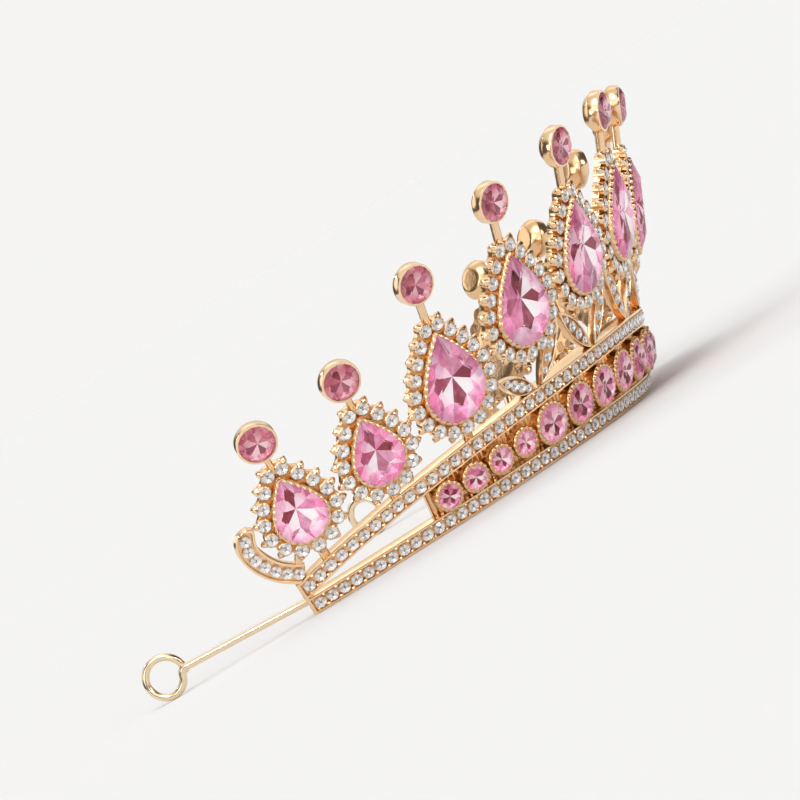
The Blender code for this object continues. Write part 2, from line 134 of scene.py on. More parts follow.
# Cuts: shares of the way out from the middle, then the tones of the facets from the table down, each a mean
# and how far it varies, then the dark and white inner kites of the back. The tones are painted light: on the
# foil a white facet is a painted highlight and a dark one painted shade, and on the glass the tint deepens
# towards the girdle as painted shade
CUT_PLACES = 16
STAR_REACH = 0.80
BACK_REACH = 0.54
KITE_REACH = 0.66
CULET_ASIDE = 0.05
FIRST_BACK_FACET = 6
FACET_TONES = [(0.0, 0.3), (0.5, 0.3), (0.7, 0.3), (0.9, 0.3), (0.9, 0.3), (1.0, 0.3)]
FACET_TONES += [(0.38, 0.55), (0.38, 0.55), (0.42, 0.55), (0.42, 0.55)]
KITE_TONE = 0.5
KITE_SWING = 0.43
KITE_SCATTER = 0.2
PLAIN_KITES = 2
PLAIN_KITE_TONE = 0.6

# Halos, stems and top cups
HALO_OFFSET = 2.2 * MM
HALO_SPIKE = 2.40 * MM
HALO_BACK = -0.8 * MM
HALO_CUPS = {SMALL_PEAR[0]: 15, LARGE_PEAR[0]: 19}
HALO_PLATE_FRONT = 0.50 * MM
HALO_PLATE_INNER = -1.7 * MM
HALO_PLATE_EDGE = 1.0 * MM
HALO_SCALLOP = 0.3 * MM
SCALLOP_STEPS = 8
HALO_SHEET_GROWN = 0.9 * MM
HALO_SHEET_SIDES = 64
HALO_CUP_SIDES = 10
HALO_CUP_OUTER = 1.49 * MM
HALO_CUP_RIM = 1.65 * MM
HALO_STONE = 2.62 * MM
HALO_STONE_GIRDLE = 1.45 * MM
BEAD_DROP = 0.55 * MM
BEAD_SLOPE = 0.25
BEAD_SIDES = 8
TOP_RISES = {SMALL_PEAR[0]: 15.7 * MM, LARGE_PEAR[0]: 20.0 * MM}
TOP_STONE = 7.0 * MM
TOP_CUP_RIM = 1.5 * MM
TOP_CUP_BACK = -1.9 * MM
TOP_CUP_WALL = 0.42 * MM
TOP_CUP_SIDES = 56
STEM_WIDE = 1.4 * MM
STEM_BACK = -0.7 * MM
STEM_FRONT = 0.7 * MM
STEM_PROUD = 0.3 * MM
FOOT_WIDE = 2.0 * MM
FOOT_REACH = HALO_OFFSET + 0.85 * HALO_CUP_OUTER
BAR_SIDES = 12
BAR_SQUARED = 0.6
BAR_LEVELS = 5

# Leaves
LEAF_FOOT = 0.06
LEAF_TIP = 0.97
LEAF_TUCK = 1.6 * MM
LEAF_SIDES = 48
LEAF_WIDE = 3.6 * MM
LEAF_BACK = -0.7 * MM
LEAF_FRONT = 1.0 * MM
LEAF_FLOOR = 0.4 * MM
LEAF_RIM = 0.42 * MM
LEAF_STONES = [(-0.54, 1.6 * MM), (-0.19, 2.2 * MM), (0.19, 2.2 * MM), (0.54, 1.6 * MM)]

# End scrolls, round the middle of the outermost pear's round end
SCROLL_RADIUS = 12.2 * MM
SCROLL_END_RADIUS = 10.5 * MM
SCROLL_MIDDLE = (SMALL_PEAR[0] - SMALL_PEAR[1]) / 2
SCROLL_START = math.radians(-66)
SCROLL_BEND = math.radians(-12)
SCROLL_END = math.radians(17)
SCROLL_WIDE = 4.2 * MM
SCROLL_RIM = 1.3 * RAIL_RIM
SCROLL_RUN_STEPS = 56
SCROLL_TIP_STEPS = 14
SCROLL_TIP_CUT = 0.12
SCROLL_BACK = -1.0 * MM
SCROLL_FLOOR = 0.3 * MM
SCROLL_FRONT = 1.0 * MM
SCROLL_STONES = 7
SCROLL_STONE = 2.3 * MM
SCROLL_FIRST_STONE = SCROLL_START + 0.1
STONE_SUNK = 0.15 * MM
SCROLL_STONE_SUNK = 0.1 * MM
SCROLL_TAB_ANGLE = math.radians(-60)

# Hairpin wires. WIRE_BEHIND and BEND_LONG are in wire radii, REACH_FIRST is a share of the straight stretch,
# and TIP_SHARES and TIP_STEPS round off the cut end
WIRE_THICK = 1.5 * MM
WIRE_RADIUS = WIRE_THICK / 2
WIRE_REACH = 28 * MM
WIRE_TURN = math.radians(8)
WIRE_START_ARC = 85.5 * MM
WIRE_START_RISE = 2.0 * MM
RING_OUTER = 9.1 * MM
RING_TURNS = 12.5 / 12
RING_STEP_ASIDE = WIRE_THICK + FIT_GAP
RING_JOIN = math.pi / 10
WIRE_BEHIND = 0.4
BEND_LONG = 1.6
RING_STEPS = 84
BEND_STEPS = 10
REACH_STEPS = 12
REACH_FIRST = 0.04
WIRE_SIDES = 20
TIP_SHARES = (0.94, 0.8, 0.5)
TIP_STEPS = (0.12 * MM, 0.2 * MM)

# Camera in degrees, fitted to the photograph's view of the crown and kept above the floor
CAMERA_AZIMUTH = -69.8
CAMERA_HEIGHT = 2
CAMERA_ROLL = -31.7
CAMERA_AWAY = 1.4
CAMERA_AIM = Vector((0.006, 0.012, 0.024))
PICTURE_WIDE = 0.158

# Light: the dim room, and the soft boxes as azimuth, height, half width, soft edge (degrees) and strength
ROOM_LIGHT = 0.17
SOFT_BOXES = [
    (0, 90, 30, 16, 0.75),
    (-72, 36, 24, 12, 1.15),
    (-18, 16, 9, 5, 3.0),
    (-118, 18, 9, 5, 3.0),
    (-60, 66, 8, 5, 3.0),
    (100, 35, 24, 14, 0.8),
    (175, 30, 14, 8, 1.2),
]
BACKDROP = (0.915, 0.908, 0.901)
FLOOR_HALF = 6.0
FLOOR_CLOUD_SCALE = 3.0

# Lamps: name, azimuth and height (degrees), strength, seen size (degrees)
LAMPS = [
    ("key_lamp", -60, 52, 0.42, 8),
    ("spark_lamp_1", -95, 30, 0.20, 3),
    ("spark_lamp_2", -38, 20, 0.14, 3),
    ("spark_lamp_3", -76, 9, 0.10, 3),
    ("spark_lamp_4", 150, 40, 0.12, 3),
]

# Finishes: scales of the noise per metre, and how far it carries
CLOUD_SCALE = 420.0
LUMP_SCALE = 1500.0
LUMP_DEEP = 0.12 * MM
GOLD_UNEVEN = 0.5
GLOSS_UNEVEN = 0.14
CRINKLE_SCALE = 700.0
CRINKLE = 0.25
FOIL_CLOUD_SCALE = 900.0
FOIL_UNEVEN = 0.06
FOIL_POLISH = 0.32
PALE_POLISH = 0.7 * FOIL_POLISH
GLASS_BENDS = 1.54

# First seeds of the random draws
TOP_SEED = 40
BAND_SEED = 80
RAIL_SEED = 1
HALO_SEED = 2
SCROLL_SEED = 3

SIDE_NAMES = {-1: "left", 1: "right"}
UP = np.array([0.0, 0.0, 1.0])
Skin = namedtuple("Skin", "points faces recess tones looks")


def unit(rows):
    """Rows divided by their lengths."""
    return rows / np.linalg.norm(rows, axis=-1, keepdims=True)


def plan_angles():
    """Ellipse angle as a function of the arc length from the front, as two arrays to read between."""
    angle = np.linspace(-math.pi / 2, math.pi / 2, PLAN_STEPS)
    speed = np.hypot(PLAN_HALF_WIDTH * np.cos(angle), PLAN_HALF_DEPTH * np.sin(angle))
    step = (speed[1:] + speed[:-1]) / 2 * np.diff(angle)
    arc = np.concatenate([[0.0], np.cumsum(step)])
    return arc - np.interp(0.0, angle, arc), angle


ARC_TABLE, ANGLE_TABLE = plan_angles()


def plan_frame(arc):
    """Points of the ellipse at these arcs, with the level directions outwards and towards a growing arc."""
    angle = np.interp(arc, ARC_TABLE, ANGLE_TABLE)
    s, c, level = np.sin(angle), np.cos(angle), np.zeros_like(angle)
    point = np.stack([-PLAN_HALF_WIDTH * s, PLAN_CENTRE_Y - PLAN_HALF_DEPTH * c, level], -1)
    outward = unit(np.stack([-PLAN_HALF_DEPTH * s, -PLAN_HALF_WIDTH * c, level], -1))
    along = unit(np.stack([-PLAN_HALF_WIDTH * c, PLAN_HALF_DEPTH * s, level], -1))
    return point, outward, along


def wall(arc, rise, out):
    """Points of the flared wall: the plan's, plus rise sin + out cos outwards and rise cos - out sin up."""
    point, outward, _ = plan_frame(np.asarray(arc, float))
    reach = np.asarray(rise * math.sin(FLARE) + out * math.cos(FLARE))
    height = np.asarray(rise * math.cos(FLARE) - out * math.sin(FLARE) + BASE_LIFT)
    return point + outward * reach[..., None] + UP * height[..., None]


def seat(arc, rise):
    """Flat frame that touches the wall at a place; with arrays, one frame for each place."""
    arc = np.asarray(arc, float)
    _, outward, along = plan_frame(arc)
    up = outward * math.sin(FLARE) + UP * math.cos(FLARE)
    out = outward * math.cos(FLARE) - UP * math.sin(FLARE)
    return np.stack([wall(arc, rise, 0.0), -along, up, out], -2)


def placed(base, x, y, out):
    """Points of a seat: its origin plus x right, y up and out outwards."""
    x, y, out = np.broadcast_arrays(x, y, out)
    return base[0] + np.stack([x, y, out], -1) @ base[1:]


def seats_on(base, x, y, nx=0.0, ny=1.0):
    """Seats at places of another seat's plane, each turned so that its up is (nx, ny) there."""
    x, y, nx, ny = (row[:, None] for row in np.broadcast_arrays(np.atleast_1d(x), y, nx, ny))
    right, up, outward = base[1:]
    origin = base[0] + x * right + y * up
    turned = [origin, ny * right - nx * up, nx * right + ny * up, np.broadcast_to(outward, origin.shape)]
    return np.stack(turned, 1)


def spun(seats, seed):
    """The same seats, each turned about its outward direction by a random angle."""
    turn = np.random.default_rng(seed).uniform(0, 2 * math.pi, (len(seats), 1))
    right = np.cos(turn) * seats[:, 1] + np.sin(turn) * seats[:, 2]
    up = np.cos(turn) * seats[:, 2] - np.sin(turn) * seats[:, 1]
    return np.stack([seats[:, 0], right, up, seats[:, 3]], 1)


def spread(arc):
    """Rise of the upper rail's top edge: least at the ends, levelling off towards the front."""
    inward = 1 - np.minimum(1.0, np.abs(arc) / HALF_ARC)
    share = (1 - np.exp(-SPREAD_CURVE * inward)) / (1 - math.exp(-SPREAD_CURVE))
    return SPREAD_AT_END + (SPREAD_AT_FRONT - SPREAD_AT_END) * share


def pear_curve(width, length, grow):
    """Dense pear outline from the bottom, anticlockwise, moved out by grow, with its outward directions.

    The bottom is half a circle, and each side is 1 - v to the power PEAR_SHOULDER up to the top's point.
    """
    radius = width / 2
    level = radius - length / 2
    turn = np.linspace(-math.pi / 2, 0, PEAR_BOTTOM_STEPS)
    v = np.linspace(0, 1, PEAR_SIDE_STEPS)[1:]
    bottom = np.stack([radius * np.cos(turn), level + radius * np.sin(turn)], 1)
    top = np.stack([radius * (1 - v ** PEAR_SHOULDER), level + v * (length / 2 - level)], 1)
    side = np.concatenate([bottom, top])
    normal = unit(np.gradient(side, axis=0))[:, ::-1] * (1, -1)
    fan = np.linspace(math.atan2(normal[-1, 1], normal[-1, 0]), math.pi / 2, PEAR_TIP_STEPS)[1:]
    side = np.concatenate([side, np.repeat(side[-1:], fan.size, 0)])
    normal = np.concatenate([normal, np.stack([np.cos(fan), np.sin(fan)], 1)])
    right = np.concatenate([side + grow * normal, normal], 1)
    return np.concatenate([right, right[-2::-1] * (-1, 1, -1, 1)])


def run_along(curve):
    """Length along a curve up to each of its points."""
    return np.concatenate([[0.0], np.cumsum(np.hypot(*np.diff(curve[:, :2], axis=0).T))])


def pear_places(width, length, grow, count):
    """Evenly spaced places round the grown pear, as four arrays: x, y and the outward direction of each."""
    curve = pear_curve(width, length, grow)
    run = run_along(curve)
    wanted = np.arange(count) / count * run[-1]
    return [np.interp(wanted, run, curve[:, k]) for k in range(4)]


def round_places(radius, count):
    """Places on a circle, the first half a step round it, as two arrays."""
    angle = 2 * math.pi * (np.arange(count) + 0.5) / count
    return radius * np.cos(angle), radius * np.sin(angle)


def corners(*columns):
    """Faces from three or four columns of corners."""
    return np.stack(np.broadcast_arrays(*columns, *[-1] * (4 - len(columns))), -1)


def tube_skin(rings, recess=0.0, closed=False):
    """Closed skin over a grid of rings: quads from ring to ring, and fans on its ends, or a closing join.

    rings is (rows, columns, 3), and recess has a value for each point, or one for all.
    """
    rows, columns = rings.shape[:2]
    depth = np.broadcast_to(recess, (rows, columns)).ravel()
    index = np.arange(rows * columns).reshape(rows, columns)
    low, high = (index, np.roll(index, -1, 0)) if closed else (index[:-1], index[1:])
    faces = corners(low, np.roll(low, -1, 1), np.roll(high, -1, 1), high).reshape(-1, 4)
    points = rings.reshape(-1, 3)
    if not closed:
        first = corners(np.roll(index[0], -1), index[0], rows * columns)
        last = corners(index[-1], np.roll(index[-1], -1), rows * columns + 1)
        faces = np.concatenate([faces, first, last])
        points = np.concatenate([points, rings[[0, -1]].mean(1)])
        depth = np.concatenate([depth, [depth[index[0]].mean(), depth[index[-1]].mean()]])
    return facing_out(Skin(points, faces, depth, np.full(len(faces), 0.5), np.zeros(len(faces), int)))


def facing_out(skin):
    """The skin with its faces turned outwards, so that its volume, summed over the faces, is positive."""
    places = skin.points[np.where(skin.faces < 0, skin.faces[:, :1], skin.faces).T]
    a, b, c, d = places - skin.points.mean(0)
    if (a * (np.cross(b, c) + np.cross(c, d))).sum() < 0:
        skin = skin._replace(faces=skin.faces[:, ::-1])
    return skin


def lathe(profile, sides, recess=0.0, ripple=0.0):
    """Round skin about a seat's outward axis from rows of radius and out, with both ends closed by a fan.

    ripple, as (rows, sides, 2), is added to the radius and out of each side.
    """
    grid = np.repeat(np.asarray(profile, float)[:, None, :], sides, 1) + ripple
    angle = 2 * math.pi * (np.arange(sides) + 0.5) / sides
    radius, out = grid[..., 0], grid[..., 1]
    rings = np.stack([radius * np.cos(angle), radius * np.sin(angle), out], -1)
    depth = np.repeat(np.broadcast_to(recess, len(grid))[:, None], sides, 1)
    return tube_skin(rings, depth)


def moved(skin, base):
    """A skin made round the origin, put on a seat."""
    return skin._replace(points=base[0] + skin.points @ base[1:])


def copies(skin, seats):
    """The same skin on many seats, as one skin."""
    count, size = len(seats), len(skin.points)
    points = seats[:, None, 0] + np.einsum("mi,kij->kmj", skin.points, seats[:, 1:])
    shift = size * np.arange(count)[:, None, None]
    faces = np.where(skin.faces < 0, -1, skin.faces + shift).reshape(-1, 4)
    rest = [np.tile(row, count) for row in (skin.recess, skin.tones, skin.looks)]
    return Skin(points.reshape(-1, 3), faces, *rest)


def joined(skins):
    """Many skins as one."""
    shifts = np.cumsum([0] + [len(skin.points) for skin in skins[:-1]])
    faces = [np.where(skin.faces < 0, -1, skin.faces + shift) for skin, shift in zip(skins, shifts)]
    columns = zip(*((skin.points, skin.recess, skin.tones, skin.looks) for skin in skins))
    points, recess, tones, looks = (np.concatenate(column) for column in columns)
    return Skin(points, np.concatenate(faces), recess, tones, looks)


def new_object(name, data):
    """Object of the scene for a mesh, a lamp or a camera."""
    made = bpy.data.objects.new(name, data)
    bpy.context.scene.collection.objects.link(made)
    return made


def make_piece(name, skins, finishes, nodes, crease=None):
    """Object from skins, on the crown's one body; with a crease angle it is smooth between its creases."""
    skin = joined(skins)
    there = skin.faces >= 0
    mesh = bpy.data.meshes.new(name)
    mesh.vertices.add(len(skin.points))
    mesh.vertices.foreach_set("co", skin.points.astype(np.float32).ravel())
    mesh.loops.add(int(there.sum()))
    mesh.loops.foreach_set("vertex_index", skin.faces[there].astype(np.int32))
    mesh.polygons.add(len(skin.faces))
    starts = np.concatenate([[0], np.cumsum(there.sum(1))[:-1]])
    mesh.polygons.foreach_set("loop_start", starts.astype(np.int32))
    mesh.polygons.foreach_set("material_index", skin.looks.astype(np.int32))
    mesh.update(calc_edges=True)
    # The recess carries the gold's painted shade, and the tone carries the stones' painted highlights and
    # painted shade.
    for kept, domain, values in (("recess", "POINT", skin.recess), ("tone", "FACE", skin.tones)):
        mesh.attributes.new(kept, "FLOAT", domain).data.foreach_set("value", values.astype(np.float32))
    for finish in finishes:
        mesh.materials.append(finish)
    if crease is None:
        mesh.shade_flat()
    else:
        mesh.shade_smooth()
        mesh.set_sharp_from_angle(angle=crease)
    piece = new_object(name, mesh)
    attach(piece, "root")
    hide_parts(*nodes)


def make_gold_piece(name, skins, gold, crease):
    """Piece of the gold frame, smooth between its creases."""
    make_piece(name, skins, [gold], ["gold_frame"], crease)


class Wire:
    """A shader socket. Sums and products of wires add Math nodes, and node() adds any other node."""

    def __init__(self, tree, socket=None):
        self.tree = tree
        self.socket = socket

    def node(self, kind, settings=None, sockets=None, output=0):
        """A new node: its settings first, such as a ramp's stops, then its sockets' values or links."""
        made = self.tree.nodes.new(kind)
        for name, value in (settings or {}).items():
            if name == "stops":
                set_stops(made.color_ramp, value)
            else:
                setattr(made, name, value)
        fill(self.tree, made, sockets or {})
        return Wire(self.tree, made.outputs[output] if len(made.outputs) else None)

    def sum_of(self, operation, first, second):
        """Wire from one Math node."""
        return self.node("ShaderNodeMath", {"operation": operation}, {0: first, 1: second})

    def __add__(self, other):
        return self.sum_of("ADD", self, other)

    __radd__ = __add__

    def __sub__(self, other):
        return self.sum_of("SUBTRACT", self, other)

    def __rsub__(self, other):
        return self.sum_of("SUBTRACT", other, self)

    def __mul__(self, other):
        return self.sum_of("MULTIPLY", self, other)

    __rmul__ = __mul__

    def mixed(self, first, second):
        """Colour that goes from the first to the second as this wire goes from 0 to 1."""
        settings = {"data_type": "RGBA", "clamp_factor": True}
        return self.node("ShaderNodeMix", settings, {0: self, 6: first, 7: second}, output=2)


def fill(tree, node, sockets):
    """Values and wires put on a node's sockets."""
    for key, value in sockets.items():
        if isinstance(value, Wire):
            tree.links.new(value.socket, node.inputs[key])
        else:
            node.inputs[key].default_value = value


def set_stops(ramp, stops):
    """Ramp stops, each a place and a colour."""
    while len(ramp.elements) < len(stops):
        ramp.elements.new(1.0)
    for element, (place, colour) in zip(ramp.elements, stops):
        element.position = place
        element.color = colour


def colour(red, green, blue):
    """Opaque colour."""
    return (red, green, blue, 1.0)


def new_finish(name):
    """Material with one Principled shader, and a wire to build on."""
    made = bpy.data.materials.new(name)
    made.use_nodes = True
    return made, Wire(made.node_tree)


def feed(made, sockets):
    """The finish, with values and wires put on its shader's sockets."""
    fill(made.node_tree, made.node_tree.nodes["Principled BSDF"], sockets)
    return made


def noise(tool, scale, detail=2.0):
    """Noise on the object's own metres."""
    place = tool.node("ShaderNodeTexCoord", output=3)
    sockets = {"Vector": place, "Scale": scale, "Detail": detail}
    return tool.node("ShaderNodeTexNoise", {"noise_dimensions": "3D"}, sockets)


def attribute(tool, name):
    """Number that a mesh keeps for each point or face."""
    return tool.node("ShaderNodeAttribute", {"attribute_name": name}, output=2)


def gold_finish(name, rim, painted_hollow_shade, polish, lumps):
    """Cast and plated gold with a cloudy polish and small lumps: paler on rims, and darker in hollows as
    painted shade.
    """
    made, tool = new_finish(name)
    cloud = noise(tool, CLOUD_SCALE, 3.0) - 0.5
    recess = attribute(tool, "recess")
    relief = {"Strength": lumps, "Distance": LUMP_DEEP, "Height": noise(tool, LUMP_SCALE)}
    return feed(made, {
        "Metallic": 1.0,
        # The base colour goes from the rim colour to the darker hollow colour as the recess deepens, which
        # is painted shade in the hollows; the cloud makes it uneven.
        "Base Color": (recess + cloud * GOLD_UNEVEN).mixed(rim, painted_hollow_shade),
        "Roughness": polish + (recess + cloud) * GLOSS_UNEVEN,
        "Normal": tool.node("ShaderNodeBump", None, relief),
    })


def glass_finish(name, pale, deep):
    """Clear cut glass of a stone's crown: its tint deepens to the girdle as painted shade, uneven from facet
    to facet.
    """
    made, tool = new_finish(name)
    tint = attribute(tool, "tone").mixed(pale, deep)
    return feed(made, {"Transmission Weight": 1.0, "Roughness": 0.0, "IOR": GLASS_BENDS, "Base Color": tint})


def foil_finish(name, painted_glow, stops):
    """Foil on the back of a stone, its colour read from a ramp by each facet's tone: its pale facets are
    painted highlights and its dark facets painted shade, and it is satin where it is pale.

    It also glows a little in that colour, as painted light that stands in for the light a cut stone gathers
    from all sides.
    """
    made, tool = new_finish(name)
    tone = attribute(tool, "tone")
    # The noise mottles the foil's painted highlights and painted shade.
    crinkled_painted_light = tone + (noise(tool, CRINKLE_SCALE) - 0.5) * CRINKLE
    shade = tool.node("ShaderNodeValToRGB", {"stops": stops}, {0: crinkled_painted_light})
    gloss = FOIL_POLISH - tone * PALE_POLISH + noise(tool, FOIL_CLOUD_SCALE) * FOIL_UNEVEN
    constants = {"Metallic": 1.0, "Emission Strength": painted_glow}
    return feed(made, {**constants, "Base Color": shade, "Emission Color": shade, "Roughness": gloss})


def channel_profile(low, high, rim, back, floor, front):
    """Section of a stone channel as rise and out: two round-topped rims, a sunk floor and a flat back.

    low and high may be columns, with one row of the section for each. Returns rise, out and recess.
    """
    radius = rim / 2
    bend = np.linspace(math.pi, 0, CREST_STEPS)
    crest_x, crest_y = radius * np.cos(bend), front - radius + radius * np.sin(bend)
    above_low = [0, *(radius + crest_x), rim, rim]
    above_high = [rim, rim, *(radius - crest_x[::-1]), 0]
    low_out = [back + radius, *crest_y, floor + radius, floor]
    high_out = low_out[::-1]
    back_corner = np.array([radius])
    rows = [low + np.array(above_low), high - np.array(above_high), high - back_corner, low + back_corner]
    rise = np.concatenate(rows, axis=-1)
    out = np.array(low_out + high_out + [back, back])
    inner = [0.25, 0.1, 0, 0, 0, 0.1, 0.35, 0.45]
    return rise, out, np.array(inner + inner[::-1] + [0.5, 0.5])


def levelled(rise, out, rim):
    """The lower rail's section with its low edge moved along the slope to the level base."""
    share = np.clip(1 - rise / rim, 0, 1)
    return rise + share * (out - RAIL_FRONT) * math.tan(FLARE)


def make_rails(gold):
    """Two channels carried along the arc, the plates that join their ends, and the stones' grains."""
    inner_end = HALF_ARC - END_PLATE_LONG / 2
    arcs = np.linspace(-inner_end, inner_end, RAIL_STATIONS)[:, None]
    sections = (RAIL_RIM, RAIL_BACK, RAIL_FLOOR, RAIL_FRONT)
    rise, out, recess = channel_profile(0 * arcs, RAIL_TALL + 0 * arcs, *sections)
    lower = tube_skin(wall(arcs, levelled(rise, out, RAIL_RIM), out), recess)
    top = spread(arcs)
    rise, out, recess = channel_profile(top - RAIL_TALL, top, *sections)
    upper = tube_skin(wall(arcs, rise, out), recess)
    plates = [end_plate(side) for side in (-1, 1)]
    grains = copies(grain_skin(), rail_grain_seats())
    make_gold_piece("rails", [lower, upper, *plates, grains], gold, crease=0.7)


def end_plate(side):
    """Plain block over the joined ends of the rails, with its edges rounded off."""
    round_off = 0.3 * MM
    arcs = side * (HALF_ARC - END_PLATE_LONG * np.array([1.0, 0.8, 0.2, 0.0]))[:, None]
    inset = np.array([round_off, 0, 0, round_off])[:, None]
    top = SPREAD_AT_END + RAIL_RIM / 2
    corner = np.array([[0, 0], [0, 1], [0.5, 1], [1, 1], [1, 0], [0.5, 0]])
    toward = np.array([[1, 1], [1, -1], [0, -1], [-1, -1], [-1, 1], [0, 1]])
    rise = corner[:, 0] * top + toward[:, 0] * inset
    out = RAIL_BACK + corner[:, 1] * (RAIL_FRONT - RAIL_BACK) + toward[:, 1] * inset
    return tube_skin(wall(arcs, levelled(rise, out, top), out), 0.0)


def rail_stone_arcs():
    """Places of the stones along a rail, evenly from one end plate to the other."""
    reach = HALF_ARC - END_PLATE_LONG - RAIL_STONE_PITCH / 2
    count = int(2 * reach / RAIL_STONE_PITCH) + 1
    return np.linspace(-reach, reach, count)


def rail_middles(arcs):
    """Middle rise of the lower and of the upper channel at these arcs."""
    return [np.full(arcs.shape, RAIL_TALL / 2), spread(arcs) - RAIL_TALL / 2]


def grain_skin():
    """Small bead of metal that holds a stone: rings of a flattened ball."""
    turn = np.linspace(0.25, math.pi - 0.25, 4)
    return lathe(np.stack([GRAIN / 2 * np.sin(turn), -GRAIN / 2 * np.cos(turn)], -1), 6)


def rail_grain_seats():
    """Two seats beside each gap between two stones of a rail."""
    arcs = rail_stone_arcs()
    gaps = (arcs[1:] + arcs[:-1]) / 2
    aside = RAIL_TALL / 2 - RAIL_RIM - GRAIN_IN_RIM
    rows = [seat(gaps, middle + way * aside) for middle in rail_middles(gaps) for way in (-1, 1)]
    seats = np.concatenate(rows)
    seats[:, 0] += seats[:, 3] * (RAIL_FRONT - GRAIN_SUNK)
    return seats


def make_gallery(gold):
    """Strip between the rails with upright ridges: the size of a sine along the arc lifts its front."""
    stations = int(2 * GALLERY_HALF_ARC / RIDGE_PITCH) * WAVE_STEPS + 1
    arcs = np.linspace(-GALLERY_HALF_ARC, GALLERY_HALF_ARC, stations)[:, None]
    ridge = np.abs(np.sin(math.pi * arcs / RIDGE_PITCH))
    low, high = RAIL_TALL - RAIL_RIM, spread(arcs) - RAIL_TALL + RAIL_RIM
    share = np.array([0.0, 0.0, 0.25, 0.5, 0.75, 1.0, 1.0])
    swell = np.array([0.0, 0.6, 1.0, 0.8, 1.0, 0.6, 0.0])
    front = np.array([0.0, 1.0, 1.0, 1.0, 1.0, 1.0, 0.0])
    rise = low + (high - low) * share
    out = GALLERY_BACK + (GALLERY_FRONT - GALLERY_BACK) * front + RIDGE_DEEP * ridge * swell
    skin = tube_skin(wall(arcs, rise, out), 0.75 - 0.35 * ridge * front)
    make_gold_piece("gallery", [skin], gold, crease=0.8)


def band_places():
    """Seat, halfway up the gallery, and stone width of each band stone, from one end to the other."""
    half = [(i * LARGE_BAND_PITCH, LARGE_BAND_STONE) for i in range(LARGE_PER_SIDE + 1)]
    first_small = LARGE_PER_SIDE * LARGE_BAND_PITCH + (LARGE_BAND_PITCH + SMALL_BAND_PITCH) / 2
    half += [(first_small + i * SMALL_BAND_PITCH, SMALL_BAND_STONE) for i in range(SMALL_PER_SIDE)]
    row = [(-arc, size) for arc, size in reversed(half[1:])] + half
    return [(seat(arc, spread(arc) / 2), size) for arc, size in row]


def beaded(count):
    """Cosine between 0 and 1 that repeats every WAVE_STEPS places."""
    return 0.5 + 0.5 * np.cos(np.arange(count) / WAVE_STEPS * 2 * math.pi)


def milled_cup(size):
    """Round cup whose rim is a ring of beads: radius and height follow a cosine round the rim.

    Rows are radius and out, how much of each a bead adds, and recess.
    """
    inner = size / 2 + FIT_GAP
    outer = inner + CUP_WALL
    back, rim = GALLERY_BACK + FIT_GAP, BAND_CUP_RIM
    sides = CUP_BEADS[size] * WAVE_STEPS
    wave = beaded(sides)
    rows = np.array([
        (outer * 0.8, back, 0, 0, 0.8),
        (outer, back + 0.5 * MM, 0, 0, 0.8),
        (outer, rim - 0.6 * MM, 0, 0, 0.7),
        (outer + 0.05 * MM, rim - 0.2 * MM, 0.16 * MM, 0, 0.7),
        (outer - 0.12 * MM, rim + 0.08 * MM, 0.10 * MM, 0.22 * MM, 0.6),
        (inner - 0.02 * MM, rim + 0.16 * MM, 0, 0.22 * MM, 0.5),
        (inner - 0.16 * MM, rim + 0.08 * MM, -0.14 * MM, 0.20 * MM, 0.6),
        (inner - 0.1 * MM, rim - 0.3 * MM, 0, 0, 0.9),
        (inner, back + 0.6 * MM, 0, 0, 1.1),
    ])
    return lathe(rows[:, :2], sides, rows[:, 4], rows[:, None, 2:4] * wave[:, None])


def make_band_cups(gold):
    """Milled cups on the gallery."""
    skins = [moved(milled_cup(size), base) for base, size in band_places()]
    make_gold_piece("band_cups", skins, gold, crease=0.9)


def motif_places():
    """The row of motifs from one end to the other, as in MOTIFS but with both sides."""
    left = [(-arc, *rest) for arc, *rest in MOTIFS[:-1]]
    return left + MOTIFS[::-1]


def halo_seats(base, width, length):
    """A seat for each halo cup, its up pointing away from the pear."""
    return seats_on(base, *pear_places(width, length, HALO_OFFSET, HALO_CUPS[width]))


def wall_round(base, places, wave, rows):
    """Wall round an outline of a seat, from places and their outward directions.

    Rows are outwards and how much of that the wave adds, the same for out, and recess.
    """
    x, y, nx, ny = places
    grow, wave_grow, out, wave_out, recess = np.array(rows).T[..., None]
    away = grow + wave_grow * wave
    return tube_skin(placed(base, x + nx * away, y + ny * away, out + wave_out * wave), recess, closed=True)


def disc_over(base, x, y, rows):
    """Closed disc over an outline of a seat: rows are a share of the outline, out and recess."""
    share, out, recess = np.array(rows).T[..., None]
    return tube_skin(placed(base, x * share, y * share, out), recess)


def halo_plate(base, width, length):
    """Scalloped ring behind the halo, closed by a thin domed sheet behind the pear.

    The ring's outer edge follows a cosine once for each cup. The sheet's rows are a share of the pear, and
    out in millimetres.
    """
    count = HALO_CUPS[width] * SCALLOP_STEPS
    edge = HALO_PLATE_EDGE + HALO_SCALLOP * np.cos(np.arange(count) / SCALLOP_STEPS * 2 * math.pi)
    inner, front = HALO_PLATE_INNER, HALO_PLATE_FRONT
    ring = wall_round(base, pear_places(width, length, HALO_OFFSET, count), edge, [
        (inner, 0, HALO_BACK, 0, 0.8),
        (inner, 0, front, 0, 0.9),
        (0.3 * MM, 0.5, front, 0, 0.7),
        (0, 0.95, front, 0, 0.4),
        (0, 1, front - 0.15 * MM, 0, 0.2),
        (0, 0.9, HALO_BACK, 0, 0.5),
    ])
    shares = [(0.1, -0.9), (0.7, -0.86), (0.98, -0.76), (1.0, -0.68), (0.7, -0.66), (0.1, -0.66)]
    x, y, _, _ = pear_places(width, length, HALO_SHEET_GROWN, HALO_SHEET_SIDES)
    return [ring, disc_over(base, x, y, [(share, out * MM, 0.4) for share, out in shares])]


